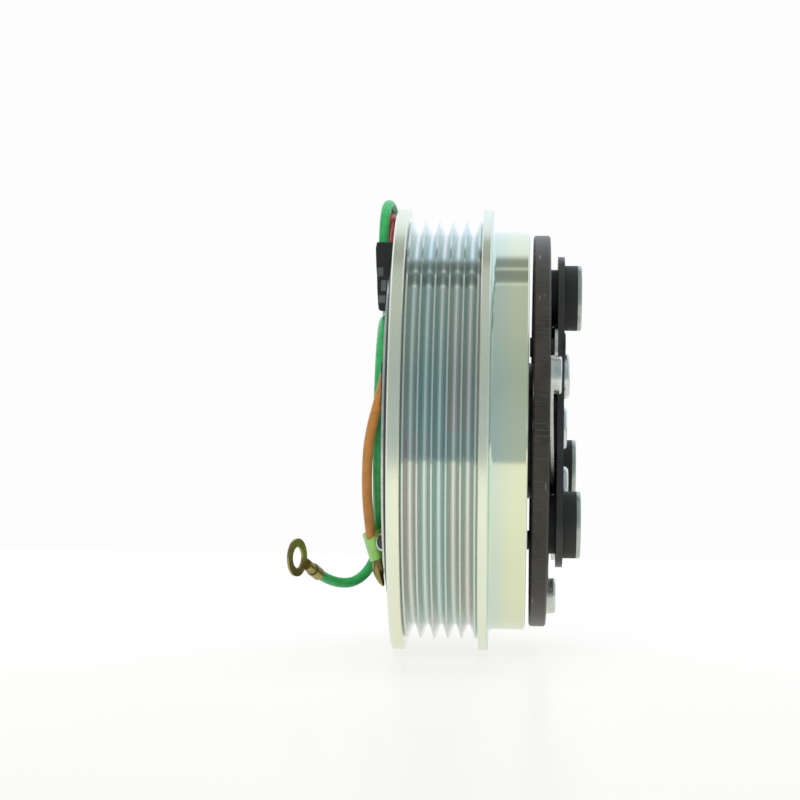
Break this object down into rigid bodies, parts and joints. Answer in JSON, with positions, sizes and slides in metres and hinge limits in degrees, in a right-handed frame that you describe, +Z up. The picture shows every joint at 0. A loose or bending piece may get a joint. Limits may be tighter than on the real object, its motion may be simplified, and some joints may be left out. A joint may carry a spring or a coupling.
{
  "type": "electromagnetic clutch",
  "caption": "Belt-driven compressor clutch: grooved pulley rotor on a ball bearing, field coil behind it with leads, and a sprung armature with hub in front.",
  "frame": {"origin": "on the shaft axis, on the rear face of the coil's mounting plate, which seats on the compressor", "axes": "+X along the shaft axis from the compressor towards the free front of the hub, +Z up, +Y away from the viewer"},
  "size_m": [0.0736, 0.116, 0.1192],
  "materials": {
    "rotor_zinc": "zinc plated, turned",
    "armature_steel": "dark phosphated steel, ground edge",
    "black_steel": "black phosphate coat",
    "zinc_steel": "bright zinc plated",
    "cap_steel": "dull zinc plated",
    "rivet_steel": "zinc plated, smooth heads",
    "bearing_steel": "ground bearing steel",
    "seal_rubber": "matte nitrile",
    "bumper_rubber": "moulded rubber",
    "black_plastic": "moulded, satin",
    "lock_plastic": "moulded, satin",
    "bobbin_plastic": "natural nylon",
    "potting_resin": "dark epoxy",
    "copper_wire": "enamelled winding wire",
    "green_insulation": "soft vinyl, satin",
    "orange_insulation": "soft vinyl, satin",
    "red_insulation": "soft vinyl, satin",
    "sleeve_plastic": "shrunk translucent sleeve",
    "terminal_brass": "dulled brass"
  },
  "bodies": {
    "coil_assembly": {"coil_mounting_plate": "zinc_steel", "coil_housing": "black_steel", "coil_bobbin": "bobbin_plastic", "coil_winding": "copper_wire", "coil_potting": "potting_resin", "plate_rivets": "rivet_steel", "plate_eyelet": "rivet_steel", "eyelet_plug": "black_plastic", "connector_lock": "lock_plastic", "lead_grommet": "black_plastic", "lead_boot": "black_plastic", "connector_bracket": "zinc_steel", "connector_housing": "black_plastic", "connector_blades": "terminal_brass", "green_lead": "green_insulation", "red_lead": "red_insulation", "orange_lead": "orange_insulation", "ground_lead": "green_insulation", "splice_sleeve": "sleeve_plastic", "splice_crimp": "terminal_brass", "ring_terminal": "terminal_brass", "bearing_inner_ring": "bearing_steel"},
    "rotor": {"rotor_pulley": "rotor_zinc", "bearing_outer_ring": "bearing_steel", "bearing_seals": "seal_rubber", "bearing_snap_ring": "black_steel"},
    "ball_set": {"bearing_balls": "bearing_steel", "bearing_cage": "zinc_steel"},
    "hub_assembly": {"hub": "black_steel", "hub_rivets": "rivet_steel", "damper_plate": "black_steel", "rubber_bumpers": "bumper_rubber", "bumper_caps": "cap_steel", "leaf_springs": "zinc_steel", "spring_rivets": "black_steel"},
    "armature": {"armature_plate": "armature_steel", "armature_rivets": "rivet_steel"}
  },
  "joints": [
    {"name": "rotor_spin", "type": "hinge", "parent": "coil_assembly", "child": "rotor", "pos_m": [0.019, 0, 0], "axis": [1, 0, 0], "continuous": true},
    {"name": "ball_set_spin", "type": "hinge", "parent": "coil_assembly", "child": "ball_set", "pos_m": [0.019, 0, 0], "axis": [1, 0, 0], "continuous": true},
    {"name": "hub_spin", "type": "hinge", "parent": "coil_assembly", "child": "hub_assembly", "pos_m": [0.038, 0, 0], "axis": [1, 0, 0], "continuous": true},
    {"name": "armature_pull", "type": "slide", "parent": "hub_assembly", "child": "armature", "axis": [-1, 0, 0], "range_m": [0, 0.001], "stiffness_N_per_m": 30000, "springref_m": -0.0005, "deforming": ["leaf_springs"]}
  ],
  "couplings": [
    {"joint": "ball_set_spin", "follows": "rotor_spin", "ratio": 0.5706}
  ]
}
